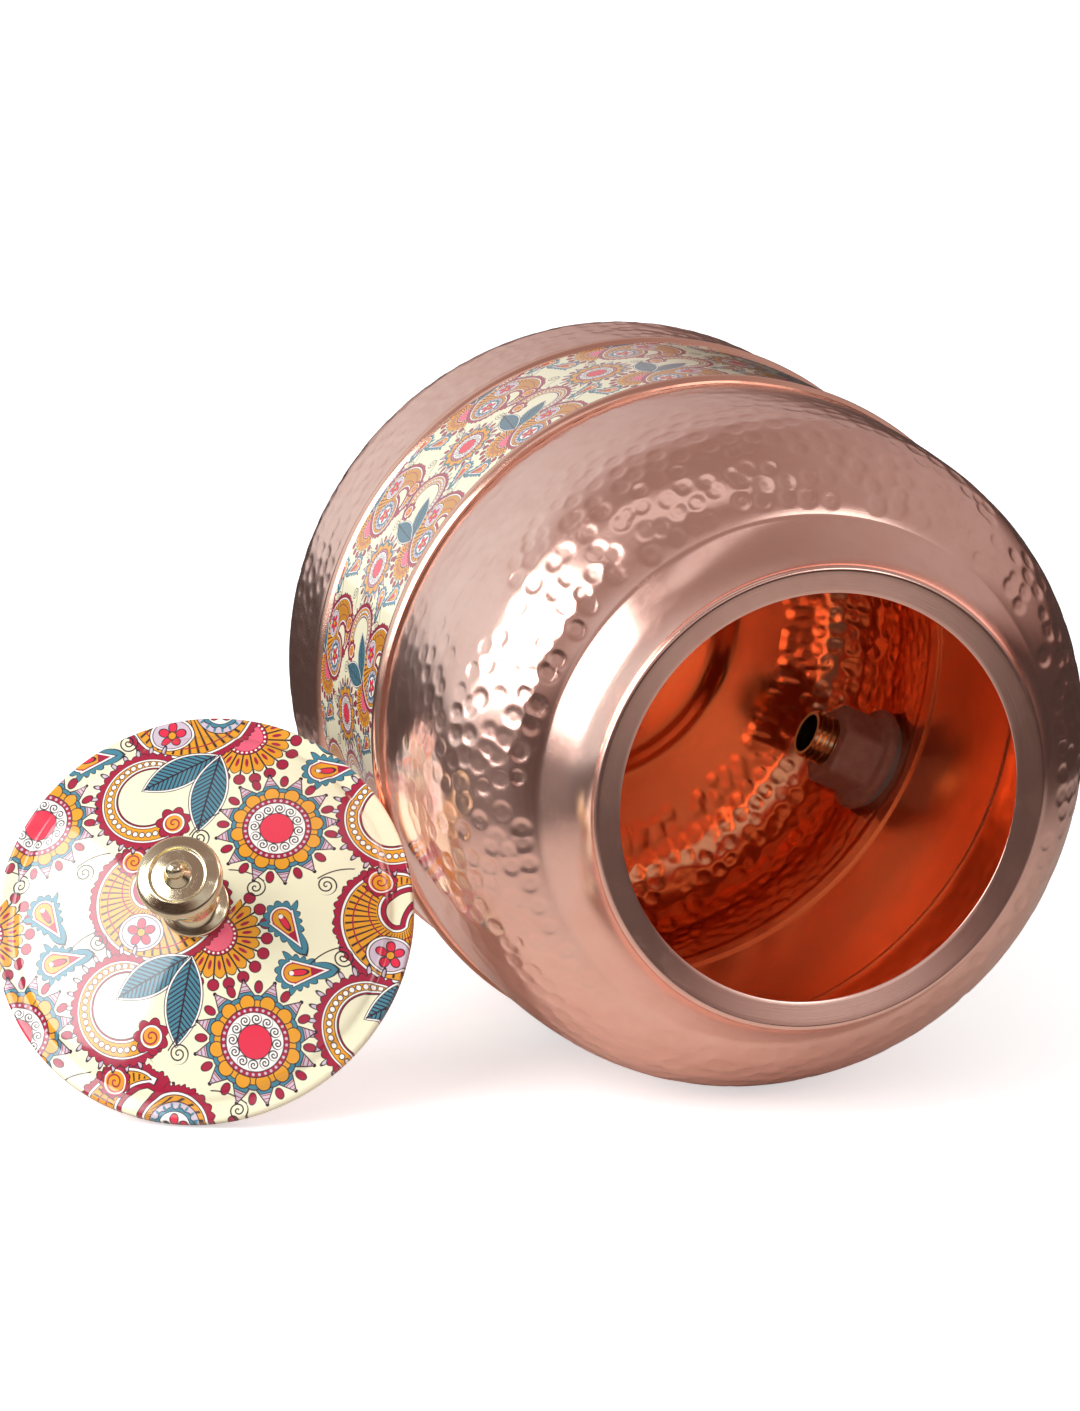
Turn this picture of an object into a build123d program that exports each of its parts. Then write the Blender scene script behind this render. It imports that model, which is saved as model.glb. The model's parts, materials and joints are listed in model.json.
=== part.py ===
from build123d import *
import os
from math import cos, radians, sin, sqrt

# Copper water jug (matka) laid on its side, with its lid leaning against the belly.
# The jug's axis is the Y axis and its mouth faces -Y. The origin is the centre of the base's
# outer face and +Z is up. Heights along the jug run from the base towards the mouth.

os.makedirs("parts", exist_ok=True)

# ---------------------------------------------------------------- driving dimensions (mm)
SHEET = 0.8                 # copper sheet
SEAT_GAP = 0.03             # left between pieces that are soldered or clamped together

WALL_R = 103.6              # lower wall, where the tap is
HEEL_R = 23.0               # round heel between the wall and the flat foot
FOOT_IN_R = 62.0            # inner edge of the flange turned in under the base pan
PAN_R = 69.0
PAN_STEP_R = 50.5           # outer and inner edge of the step up to the pan's raised middle
PAN_RAISED_R = 46.5
PAN_RISE = 3.5

BELT_LOW = 50.0             # start of the lower bead
BELT_HIGH = 121.5           # end of the upper bead
BEAD_W = 6.0                # width of each bead along the jug
BEAD_RISE = 1.3             # how far a bead stands proud of the belt
BELT_LOW_R = 103.8          # outside of the belt next to the lower bead
BELT_HIGH_R = 105.2         # outside of the belt next to the upper bead
PRINT_T = 0.15              # lacquered print

JOGGLE_H = 4.0              # height over which the lower wall steps in to its lap
BELLY_MID = (105.3, 146.0)  # points that the belly's and shoulder's arcs pass through
BELLY_TOP = (104.6, 168.0)
SHOULDER_TOP = (92.5, 197.3)
CREASE = (81.5, 205.0)      # between the hammered shoulder and the smooth neck
NECK_MID = (74.6, 214.6)
NECK_TOP = (71.3, 225.4)
RIDGE = (70.9, 226.7)       # ridge round the lip
LIP_TOP = (69.6, 227.0)
MOUTH = (62.5, 225.2)       # edge of the mouth

TAP_H = 30.0                # height of the tap on the wall
TAP_TURN = -27.0            # turn of the tap about the jug's axis, from +X
THREAD_R = 8.0
THREAD_DEPTH = 0.55
THREAD_PITCH = 1.9
THREAD_END = 28.0           # end of the shank inside the jug
SHANK_BORE_R = 6.4
SHANK_BORE_END = 9.0        # where the wide bore of the shank stops, out from the wall
HOLE_R = 8.4                # hole in the wall
WASHER_OUT_T = 2.2
WASHER_OUT_R = 13.5
WASHER_IN_T = 3.0
WASHER_IN_R = 15.5
WASHER_FILL = 2.0           # how far the washers are drawn into the curved wall, then cut back
NUT_FLANGE_R = 17.0
NUT_FLANGE_T = 2.6
NUT_ACROSS_FLATS = 24.0
NUT_T = 14.0
NUT_CHAMFER = 0.8
TAP_FLANGE_R = 14.0
TAP_FLANGE_T = 2.6
TAP_FLANGE_CONE = 1.0       # height of the sloped back of the flange
BARREL_R = 9.5
BARREL_END = 48.0
BARREL_ROUND = 4.0
WAY_R = 4.2                 # waterway through the tap and its plug
PLUG_OUT = 21.0             # plug axis, out from the wall
PLUG_R = 6.0
PLUG_GAP = 0.04
BOSS_LOW = -14.0            # heights along the plug's axis, from the barrel's middle
PLUG_LOW = -11.0
PLUG_TOP = 13.0
BOSS_TOP = 15.0
STEM_R = 3.5
STEM_TOP = 27.2
NOZZLE_OUT = 40.0           # nozzle axis, out from the wall
NOZZLE_R = 7.0
NOZZLE_BORE_R = 4.6
NOZZLE_LEN = 23.0
NOZZLE_LIP_W = 3.0          # width of the lip at the nozzle's end
NOZZLE_LIP_RISE = 1.0
SEAL_R = 0.9                # radius of the stem seal's cord
GLAND_T = 5.5
GLAND_ACROSS_FLATS = 17.0
GLAND_CHAMFER = 0.7
LEVER_LOW = 21.2
LEVER_HUB_R = 6.2
LEVER_HUB_T = 7.4
LEVER_LEN = 36.0
LEVER_W = 6.5
LEVER_T = 3.6
LEVER_RISE = 1.6            # underside of the arm above the underside of the hub
LEVER_END_R = 4.6
LEVER_ROUND = 0.8
LEVER_SCREW_R = 1.5
LEVER_SCREW_LEN = 8.0
LEVER_SCREW_HEAD_R = 3.2
LEVER_SCREW_HEAD_T = 2.0
HEAD_ROUND = 1.2            # rounding of both screws' heads
SLOT_W = 0.9                # screwdriver slots
SLOT_DEPTH = 0.8

LID_R = 64.5
LID_CENTRE = (-160.6, -120.8, -52.1)    # centre of the rim's lower edge
LID_HEADING = -28.0         # heading of the lid's axis from -Y towards -X
LID_RISE = 33.8             # rise of the lid's axis above the bench
RIM_H = 3.0                 # turned-down edge of the lid
RIM_BEND = 0.9
RIM_IN_R = 58.6             # inner edge of the flat rim
DOME_EDGE = (57.2, 4.6)
DOME_H = 15.5
RING_R = 61.3               # locating ring that drops into the mouth
RING_DEPTH = 6.0            # how far it reaches below the rim

# The knob's sizes are radii, and heights above its foot.
KNOB_FOOT_R = 10.5
KNOB_FOOT_T = 1.6
KNOB_BASE = (8.1, 2.8)      # where the stem starts to curve in
KNOB_WAIST = (5.6, 11.0)
KNOB_FLARE = (11.2, 23.0)   # underside of the disc
KNOB_DISC = (13.2, 26.3)    # widest point
KNOB_TOP_EDGE = (11.4, 29.5)
KNOB_TOP = (10.6, 30.0)
KNOB_DISH_EDGE = (9.7, 30.0)
KNOB_DISH = (9.2, 28.4)     # shallow dish round the ball's collar
KNOB_COLLAR = (4.6, 28.8)
BALL_R = 3.2
BALL_H = 34.4               # centre of the ball finial
BALL_NECK_R = 2.0           # where the ball sits on its collar
SCREW_R = 2.0               # screw that holds the knob to the lid
SCREW_HOLE_R = 2.2
SCREW_HEAD_R = 3.6
SCREW_HEAD_T = 2.2
SCREW_GRIP = 9.0            # length of the screw inside the knob
KNOB_WASHER_R = 6.0


def save(piece, name):
    """Label one finished piece and write its STEP file."""
    piece.part.label = name
    export_step(piece.part, f"parts/{name}.step")


# Jug profiles are drawn with x as radius and y as height along the jug.
PROFILE = Plane(origin=(0, 0, 0), x_dir=(1, 0, 0), z_dir=(0, 0, -1))
JUG_AXIS = Axis((0, 0, 0), (0, -1, 0))

# The tap's plane: z out through the wall, y up the jug towards the mouth.
turn = radians(TAP_TURN)
TAP = Plane(
    origin=(WALL_R * cos(turn), -TAP_H, WALL_R * sin(turn)),
    x_dir=(-sin(turn), 0, cos(turn)),
    z_dir=(cos(turn), 0, sin(turn)),
)
TAP_AXIS = Axis(TAP.origin, TAP.z_dir)
TAP_PROFILE = Plane(origin=TAP.origin, x_dir=TAP.x_dir, z_dir=-TAP.y_dir)

# The plug's plane: z up the jug along the plug, x out of the wall.
PLUG = Plane(origin=TAP.from_local_coords((0, 0, PLUG_OUT)), x_dir=TAP.z_dir, z_dir=TAP.y_dir)
PLUG_PROFILE = Plane(origin=PLUG.origin, x_dir=PLUG.x_dir, z_dir=-PLUG.y_dir)
PLUG_AXIS = Axis(PLUG.origin, PLUG.z_dir)

# The lid's plane: z out through the knob.
heading = radians(LID_HEADING)
rise = radians(LID_RISE)
LID_OUT = Vector(cos(rise) * sin(heading), -cos(rise) * cos(heading), sin(rise))
LID = Plane(origin=LID_CENTRE, x_dir=Vector(0, 0, 1).cross(LID_OUT), z_dir=LID_OUT)
LID_AXIS = Axis(LID.origin, LID.z_dir)
LID_PROFILE = Plane(origin=LID.origin, x_dir=LID.x_dir, z_dir=-LID.y_dir)

# ---------------------------------------------------------------- jug body
LAP_LOW_R = BELT_LOW_R - SHEET - SEAT_GAP
LAP_HIGH_R = BELT_HIGH_R - SHEET - SEAT_GAP

with BuildPart() as lower_shell:
    with BuildSketch(PROFILE):
        with BuildLine():
            Line((FOOT_IN_R, 0), (WALL_R - HEEL_R, 0))
            JernArc(start=(WALL_R - HEEL_R, 0), tangent=(1, 0), radius=HEEL_R, arc_size=90)
            Polyline(
                (WALL_R, HEEL_R),
                (WALL_R, BELT_LOW - JOGGLE_H),
                (LAP_LOW_R, BELT_LOW),
                (LAP_LOW_R, BELT_LOW + BEAD_W),
            )
            offset(amount=SHEET, side=Side.LEFT)
        make_face()
    revolve(axis=JUG_AXIS)
    with BuildSketch(TAP.offset(-HOLE_R)):
        Circle(HOLE_R)
    extrude(amount=2 * HOLE_R, mode=Mode.SUBTRACT)
save(lower_shell, "lower_shell")

with BuildPart() as base_pan:
    pan_h = SHEET + SEAT_GAP
    with BuildSketch(PROFILE):
        with BuildLine():
            Polyline(
                (0, pan_h + PAN_RISE),
                (PAN_RAISED_R, pan_h + PAN_RISE),
                (PAN_STEP_R, pan_h),
                (PAN_R, pan_h),
            )
            offset(amount=SHEET, side=Side.LEFT)
        make_face()
    revolve(axis=JUG_AXIS)
save(base_pan, "base_pan")

with BuildPart() as belt_ring:
    low_in_r = BELT_LOW_R - SHEET
    high_in_r = BELT_HIGH_R - SHEET
    with BuildSketch(PROFILE):
        with BuildLine():
            Polyline(
                (BELT_LOW_R, BELT_LOW),
                (low_in_r, BELT_LOW),
                (low_in_r, BELT_LOW + BEAD_W),
                (high_in_r, BELT_HIGH - BEAD_W),
                (high_in_r, BELT_HIGH),
                (BELT_HIGH_R, BELT_HIGH),
            )
            ThreePointArc(
                (BELT_HIGH_R, BELT_HIGH),
                (BELT_HIGH_R + BEAD_RISE, BELT_HIGH - BEAD_W / 2),
                (BELT_HIGH_R, BELT_HIGH - BEAD_W),
            )
            Line((BELT_HIGH_R, BELT_HIGH - BEAD_W), (BELT_LOW_R, BELT_LOW + BEAD_W))
            ThreePointArc(
                (BELT_LOW_R, BELT_LOW + BEAD_W),
                (BELT_LOW_R + BEAD_RISE, BELT_LOW + BEAD_W / 2),
                (BELT_LOW_R, BELT_LOW),
            )
        make_face()
    revolve(axis=JUG_AXIS)
save(belt_ring, "belt_ring")

with BuildPart() as band_print:
    with BuildSketch(PROFILE):
        with BuildLine():
            Line((BELT_LOW_R, BELT_LOW + BEAD_W), (BELT_HIGH_R, BELT_HIGH - BEAD_W))
            offset(amount=PRINT_T, side=Side.RIGHT)
        make_face()
    revolve(axis=JUG_AXIS)
    add(belt_ring.part, mode=Mode.SUBTRACT)
save(band_print, "band_print")

with BuildPart() as upper_shell:
    with BuildSketch(PROFILE):
        with BuildLine():
            Line((LAP_HIGH_R, BELT_HIGH - BEAD_W), (LAP_HIGH_R, BELT_HIGH))
            belly = ThreePointArc((LAP_HIGH_R, BELT_HIGH), BELLY_MID, BELLY_TOP)
            shoulder = TangentArc(belly @ 1, SHOULDER_TOP, tangent=belly % 1)
            TangentArc(shoulder @ 1, CREASE, tangent=shoulder % 1)
            ThreePointArc(CREASE, NECK_MID, NECK_TOP)
            ThreePointArc(NECK_TOP, RIDGE, LIP_TOP)
            Line(LIP_TOP, MOUTH)
            offset(amount=SHEET, side=Side.LEFT)
        make_face()
    revolve(axis=JUG_AXIS)
save(upper_shell, "upper_shell")

# ---------------------------------------------------------------- tap
# The room inside the lower wall, a seat gap clear of the copper.
ROOM_R = WALL_R - SHEET - SEAT_GAP
with BuildPart(mode=Mode.PRIVATE) as inside_room:
    with BuildSketch(PROFILE):
        with BuildLine():
            Polyline(
                (WALL_R - HEEL_R, SHEET + SEAT_GAP),
                (0, SHEET + SEAT_GAP),
                (0, BELT_LOW),
                (ROOM_R, BELT_LOW),
                (ROOM_R, HEEL_R),
            )
            RadiusArc(
                (ROOM_R, HEEL_R), (WALL_R - HEEL_R, SHEET + SEAT_GAP), HEEL_R - SHEET - SEAT_GAP
            )
        make_face()
    revolve(axis=JUG_AXIS)

with BuildPart() as outer_washer:
    with BuildSketch(TAP.offset(-WASHER_FILL)):
        Circle(WASHER_OUT_R)
        Circle(HOLE_R, mode=Mode.SUBTRACT)
    extrude(amount=WASHER_FILL + WASHER_OUT_T)
    with BuildSketch(Plane.XZ.offset(-HEEL_R)):
        Circle(WALL_R + SEAT_GAP)
    extrude(amount=4 * HEEL_R, mode=Mode.SUBTRACT)
save(outer_washer, "outer_washer")

with BuildPart() as inner_washer:
    with BuildSketch(TAP.offset(-SHEET - WASHER_IN_T)):
        Circle(WASHER_IN_R)
        Circle(HOLE_R, mode=Mode.SUBTRACT)
    extrude(amount=WASHER_IN_T + WASHER_FILL)
    add(inside_room.part, mode=Mode.INTERSECT)
save(inner_washer, "inner_washer")

nut_face = -SHEET - WASHER_IN_T - SEAT_GAP
with BuildPart() as retaining_nut:
    with BuildSketch(TAP.offset(nut_face)):
        Circle(NUT_FLANGE_R)
    extrude(amount=-NUT_FLANGE_T)
    with BuildSketch(TAP.offset(nut_face - NUT_FLANGE_T)):
        RegularPolygon(radius=NUT_ACROSS_FLATS / 2, side_count=6, major_radius=False)
    extrude(amount=-NUT_T)
    chamfer(retaining_nut.faces().sort_by(TAP_AXIS)[0].edges(), length=NUT_CHAMFER)
    with BuildSketch(TAP):
        Circle(THREAD_R + SEAT_GAP)
    extrude(amount=-2 * THREAD_END, mode=Mode.SUBTRACT)
save(retaining_nut, "retaining_nut")

with BuildPart() as tap_body:
    with BuildSketch(TAP_PROFILE):
        with BuildLine():
            turns = int(THREAD_END / THREAD_PITCH) - 1
            ridge = []
            for i in range(turns):
                low = -THREAD_END + i * THREAD_PITCH
                ridge.append((THREAD_R - THREAD_DEPTH, low))
                ridge.append((THREAD_R, low + THREAD_PITCH / 2))
            ridge.append((THREAD_R - THREAD_DEPTH, ridge[-1][1] + THREAD_PITCH / 2))
            Polyline(
                (0, -THREAD_END),
                *ridge,
                (THREAD_R - THREAD_DEPTH, WASHER_OUT_T + SEAT_GAP),
                (TAP_FLANGE_R, WASHER_OUT_T + SEAT_GAP),
                (TAP_FLANGE_R, WASHER_OUT_T + TAP_FLANGE_T),
                (BARREL_R, WASHER_OUT_T + TAP_FLANGE_T + TAP_FLANGE_CONE),
                (BARREL_R, BARREL_END),
                (0, BARREL_END),
                close=True,
            )
        make_face()
    revolve(axis=TAP_AXIS)
    fillet(tap_body.edges().group_by(TAP_AXIS)[-1], radius=BARREL_ROUND)
    with BuildSketch(PLUG.offset(BOSS_LOW)):
        Circle(BARREL_R)
    extrude(amount=BOSS_TOP - BOSS_LOW)
    nozzle_plane = Plane(
        origin=TAP.from_local_coords((0, 0, NOZZLE_OUT)), x_dir=TAP.x_dir, z_dir=-TAP.y_dir
    )
    with BuildSketch(nozzle_plane):
        Circle(NOZZLE_R)
    extrude(amount=NOZZLE_LEN)
    with BuildSketch(nozzle_plane.offset(NOZZLE_LEN - NOZZLE_LIP_W)):
        Circle(NOZZLE_R + NOZZLE_LIP_RISE)
    extrude(amount=NOZZLE_LIP_W)
    with BuildSketch(TAP.offset(-THREAD_END)):
        Circle(SHANK_BORE_R)
    extrude(amount=THREAD_END + SHANK_BORE_END, mode=Mode.SUBTRACT)
    with BuildSketch(TAP):
        Circle(WAY_R)
    extrude(amount=NOZZLE_OUT, mode=Mode.SUBTRACT)
    with BuildSketch(nozzle_plane):
        Circle(NOZZLE_BORE_R)
    extrude(amount=NOZZLE_LEN, mode=Mode.SUBTRACT)
    with BuildSketch(PLUG.offset(PLUG_LOW)):
        Circle(PLUG_R + PLUG_GAP)
    extrude(amount=BOSS_TOP - PLUG_LOW, mode=Mode.SUBTRACT)
save(tap_body, "tap_body")

with BuildPart() as valve_plug:
    with BuildSketch(PLUG.offset(PLUG_LOW + PLUG_GAP)):
        Circle(PLUG_R)
    extrude(amount=PLUG_TOP - PLUG_LOW - PLUG_GAP)
    with BuildSketch(PLUG.offset(PLUG_TOP)):
        Circle(STEM_R)
    extrude(amount=STEM_TOP - PLUG_TOP)
    with BuildSketch(Plane(origin=PLUG.origin, x_dir=PLUG.z_dir, z_dir=PLUG.y_dir)):
        Circle(WAY_R)
    extrude(amount=2 * PLUG_R, both=True, mode=Mode.SUBTRACT)
    with BuildSketch(PLUG.offset(STEM_TOP)):
        Circle(LEVER_SCREW_R + PLUG_GAP)
    extrude(amount=-LEVER_SCREW_LEN, mode=Mode.SUBTRACT)
save(valve_plug, "valve_plug")

with BuildPart() as stem_seal:
    with BuildSketch(PLUG_PROFILE):
        with Locations((STEM_R + SEAL_R + PLUG_GAP, PLUG_TOP + SEAL_R + PLUG_GAP)):
            Circle(SEAL_R)
    revolve(axis=PLUG_AXIS)
save(stem_seal, "stem_seal")

with BuildPart() as gland_nut:
    with BuildSketch(PLUG.offset(BOSS_TOP + SEAT_GAP)):
        RegularPolygon(radius=GLAND_ACROSS_FLATS / 2, side_count=6, major_radius=False)
        Circle(STEM_R + 2 * PLUG_GAP, mode=Mode.SUBTRACT)
    extrude(amount=GLAND_T)
    chamfer(gland_nut.faces().sort_by(PLUG_AXIS)[-1].outer_wire().edges(), length=GLAND_CHAMFER)
save(gland_nut, "gland_nut")

# The lever lies across the tap when the tap is shut, along the jug's wall.
with BuildPart() as tap_lever:
    with BuildSketch(PLUG.offset(LEVER_LOW)):
        Circle(LEVER_HUB_R)
    extrude(amount=LEVER_HUB_T)
    with BuildSketch(PLUG.offset(LEVER_LOW + LEVER_RISE)):
        with Locations((0, LEVER_LEN / 2)):
            SlotCenterToCenter(LEVER_LEN, LEVER_W, rotation=90)
        with Locations((0, LEVER_LEN)):
            Circle(LEVER_END_R)
    extrude(amount=LEVER_T)
    top_edges = tap_lever.edges().filter_by(GeomType.CIRCLE).group_by(PLUG_AXIS)[-1]
    fillet(top_edges, radius=LEVER_ROUND)
    with BuildSketch(PLUG.offset(LEVER_LOW)):
        Circle(STEM_R + SEAT_GAP)
    extrude(amount=STEM_TOP - LEVER_LOW + SEAT_GAP, mode=Mode.SUBTRACT)
    with BuildSketch(PLUG.offset(LEVER_LOW)):
        Circle(LEVER_SCREW_R + PLUG_GAP)
    extrude(amount=LEVER_HUB_T, mode=Mode.SUBTRACT)
save(tap_lever, "tap_lever")

with BuildPart() as lever_screw:
    head_h = LEVER_LOW + LEVER_HUB_T + SEAT_GAP
    with BuildSketch(PLUG.offset(head_h)):
        Circle(LEVER_SCREW_HEAD_R)
    extrude(amount=LEVER_SCREW_HEAD_T)
    fillet(lever_screw.edges().group_by(PLUG_AXIS)[-1], radius=HEAD_ROUND)
    with BuildSketch(PLUG.offset(head_h)):
        Circle(LEVER_SCREW_R)
    extrude(amount=-LEVER_SCREW_LEN)
    with BuildSketch(PLUG.offset(head_h + LEVER_SCREW_HEAD_T)):
        Rectangle(2 * LEVER_SCREW_HEAD_R, SLOT_W)
    extrude(amount=-SLOT_DEPTH, mode=Mode.SUBTRACT)
save(lever_screw, "lever_screw")

# ---------------------------------------------------------------- lid
def lid_line():
    """Draw the lid's outside, from the middle of the dome down to the rim's edge."""
    TangentArc((0, DOME_H), DOME_EDGE, tangent=(1, 0))
    Polyline(DOME_EDGE, (RIM_IN_R, RIM_H), (LID_R - RIM_BEND, RIM_H))
    JernArc(start=(LID_R - RIM_BEND, RIM_H), tangent=(1, 0), radius=RIM_BEND, arc_size=-90)
    Line((LID_R, RIM_H - RIM_BEND), (LID_R, 0))


with BuildPart() as lid_shell:
    with BuildSketch(LID_PROFILE):
        with BuildLine():
            lid_line()
            offset(amount=SHEET, side=Side.RIGHT)
        make_face()
    revolve(axis=LID_AXIS)
    with BuildSketch(LID):
        Circle(SCREW_HOLE_R)
    extrude(amount=2 * DOME_H, mode=Mode.SUBTRACT)
save(lid_shell, "lid_shell")

with BuildPart() as lid_print:
    with BuildSketch(LID_PROFILE):
        with BuildLine():
            lid_line()
            offset(amount=PRINT_T, side=Side.LEFT)
        make_face()
    revolve(axis=LID_AXIS)
    with BuildSketch(LID):
        Circle(SCREW_HOLE_R)
    extrude(amount=2 * DOME_H, mode=Mode.SUBTRACT)
save(lid_print, "lid_print")

with BuildPart() as locating_ring:
    with BuildSketch(LID.offset(-RING_DEPTH)):
        Circle(RING_R)
        Circle(RING_R - SHEET, mode=Mode.SUBTRACT)
    extrude(amount=RING_DEPTH + RIM_H - SHEET - SEAT_GAP)
save(locating_ring, "locating_ring")

# ---------------------------------------------------------------- knob
KNOB_LOW = DOME_H + PRINT_T + SEAT_GAP
KNOB_PROFILE = Plane(
    origin=LID.from_local_coords((0, 0, KNOB_LOW)), x_dir=LID.x_dir, z_dir=-LID.y_dir
)

ball_neck = (BALL_NECK_R, BALL_H - sqrt(BALL_R**2 - BALL_NECK_R**2))
with BuildPart() as knob:
    with BuildSketch(KNOB_PROFILE):
        with BuildLine():
            Polyline((0, 0), (KNOB_FOOT_R, 0), (KNOB_FOOT_R, KNOB_FOOT_T), KNOB_BASE)
            Spline(KNOB_BASE, KNOB_WAIST, KNOB_FLARE, tangents=[(-0.7, 1), (1, 0.5)])
            ThreePointArc(KNOB_FLARE, KNOB_DISC, KNOB_TOP_EDGE)
            Polyline(
                KNOB_TOP_EDGE,
                KNOB_TOP,
                KNOB_DISH_EDGE,
                KNOB_DISH,
                KNOB_COLLAR,
                ball_neck,
            )
            ThreePointArc(ball_neck, (BALL_R, BALL_H), (0, BALL_H + BALL_R))
            Line((0, BALL_H + BALL_R), (0, 0))
        make_face()
    revolve(axis=LID_AXIS)
    with BuildSketch(LID.offset(KNOB_LOW)):
        Circle(SCREW_R + SEAT_GAP)
    extrude(amount=SCREW_GRIP + SEAT_GAP, mode=Mode.SUBTRACT)
save(knob, "knob")

WASHER_TOP = DOME_H - SHEET - 5 * SEAT_GAP
with BuildPart() as knob_washer:
    with BuildSketch(LID.offset(WASHER_TOP - SHEET)):
        Circle(KNOB_WASHER_R)
        Circle(SCREW_HOLE_R, mode=Mode.SUBTRACT)
    extrude(amount=SHEET)
save(knob_washer, "knob_washer")

with BuildPart() as knob_screw:
    head_top = WASHER_TOP - SHEET - SEAT_GAP
    with BuildSketch(LID.offset(head_top)):
        Circle(SCREW_HEAD_R)
    extrude(amount=-SCREW_HEAD_T)
    fillet(knob_screw.edges().group_by(LID_AXIS)[0], radius=HEAD_ROUND)
    with BuildSketch(LID.offset(head_top)):
        Circle(SCREW_R)
    extrude(amount=KNOB_LOW + SCREW_GRIP - head_top)
    with BuildSketch(LID.offset(head_top - SCREW_HEAD_T)):
        Rectangle(2 * SCREW_HEAD_R, SLOT_W)
    extrude(amount=SLOT_DEPTH, mode=Mode.SUBTRACT)
save(knob_screw, "knob_screw")
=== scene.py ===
"""Looks of a hammered copper water jug with a printed belt, a brass tap and a loose printed lid."""
import json
import math

import bpy
import numpy as np
from mathutils import Matrix, Vector


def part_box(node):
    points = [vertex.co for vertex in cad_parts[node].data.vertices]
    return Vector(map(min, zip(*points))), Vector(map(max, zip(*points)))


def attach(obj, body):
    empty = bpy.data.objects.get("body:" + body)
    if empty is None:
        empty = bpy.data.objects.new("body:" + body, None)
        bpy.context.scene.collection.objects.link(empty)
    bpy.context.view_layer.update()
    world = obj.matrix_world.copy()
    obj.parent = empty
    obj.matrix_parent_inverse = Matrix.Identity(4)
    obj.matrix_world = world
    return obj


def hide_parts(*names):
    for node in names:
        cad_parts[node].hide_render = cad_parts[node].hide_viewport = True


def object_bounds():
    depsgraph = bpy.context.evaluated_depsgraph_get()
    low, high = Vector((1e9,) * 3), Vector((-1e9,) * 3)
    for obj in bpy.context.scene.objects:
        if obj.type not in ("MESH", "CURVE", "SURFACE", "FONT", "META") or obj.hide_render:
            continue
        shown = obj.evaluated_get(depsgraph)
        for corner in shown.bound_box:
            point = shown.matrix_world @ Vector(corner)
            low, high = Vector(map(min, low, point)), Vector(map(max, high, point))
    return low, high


MM = 0.001
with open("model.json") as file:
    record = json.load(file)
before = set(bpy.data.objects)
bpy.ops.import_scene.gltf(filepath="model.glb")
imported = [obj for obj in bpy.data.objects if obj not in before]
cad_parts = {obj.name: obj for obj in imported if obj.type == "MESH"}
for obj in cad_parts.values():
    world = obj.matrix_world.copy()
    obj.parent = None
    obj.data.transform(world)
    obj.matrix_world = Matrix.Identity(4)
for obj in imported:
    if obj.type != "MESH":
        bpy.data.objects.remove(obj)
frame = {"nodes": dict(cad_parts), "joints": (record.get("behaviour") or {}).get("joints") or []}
cad_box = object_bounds()
rng = np.random.default_rng(7)


# ------------------------------------------------------------------ driving dimensions (mm)
SHEET = 0.8                 # copper sheet
SEAT_GAP = 0.03             # between pieces that are soldered or seated
WALL_R = 103.6              # lower wall
HEEL_R = 23.0
FOOT_IN_R = 62.0
JOGGLE_H = 4.0
BELT_LOW = 50.0             # belt, along the jug
BELT_HIGH = 121.5
BEAD_W = 6.0
BEAD_RISE = 1.3
BELT_LOW_R = 103.8
BELT_HIGH_R = 105.2
PRINT_T = 0.15
PRINT_INSET = 0.25          # bare strip between the print and a bead
BELT_WOBBLE = 0.035         # hand-made unevenness
BELLY_MID = (105.3, 146.0)  # upper shell's outside, as radius and height along the jug
BELLY_TOP = (104.6, 168.0)
SHOULDER_TOP = (92.5, 197.3)
CREASE = (81.5, 205.0)
NECK_MID = (74.6, 214.6)
NECK_TOP = (71.3, 225.4)
RIDGE = (70.9, 226.7)
LIP_TOP = (69.6, 227.0)
MOUTH = (62.5, 225.2)
MIDDLE_H = 120.0            # about half-way along the jug
LAP_LOW_R = BELT_LOW_R - SHEET - SEAT_GAP
LAP_HIGH_R = BELT_HIGH_R - SHEET - SEAT_GAP

PAN_R = 69.0
PAN_STEP_R = 52.0
PAN_RAISED_R = 45.5
PAN_RISE = 3.5
PAN_BEND = 2.5
PAN_WOBBLE = 0.03

TAP_H = 30.0
TAP_CLEAR_R = 18.0          # the wall is left flat round the tap
TAP_HOLE_R = 8.4

NUT_FACE = -3.83            # nut's flange face, measured out from the wall along the tap's axis
NUT_FLANGE_R = 17.0
NUT_FLANGE_T = 2.6
NUT_FLAT = 12.0             # from the axis to a flat
NUT_T = 14.0
NUT_BORE_R = 8.03
NUT_EDGE = 1.3              # rounding of the moulded edges

LID_R = 64.5                # lid, in heights above the rim's lower edge
RIM_H = 3.0
RIM_BEND = 0.9
RIM_IN_R = 58.6
DOME_EDGE = (57.2, 4.6)
DOME_H = 15.5
RING_DEPTH = 6.0
LID_DENT = 0.045
LID_DENT_SPACING = 9.0

# The knob's points are radii, and heights above its foot.
KNOB_LOW = DOME_H + PRINT_T + SEAT_GAP
KNOB_FOOT = ((0.01, 0), (10.5, 0), (10.5, 1.6), (8.1, 2.8), (7.3, 3.4))
KNOB_WAIST = ((7.3, 3.4), (5.3, 5.6), (4.9, 16.5), (11.2, 23.0))    # control points of the stem
KNOB_DISC = ((11.2, 23.0), (13.2, 26.3), (12.4, 28.4))
KNOB_TOP = ((12.4, 28.4), (9.1, 30.0), (8.7, 30.0), (8.4, 29.0), (4.4, 29.4), (2.0, 31.9))
BALL_R = 2.9
BALL_H = 34.0

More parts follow.
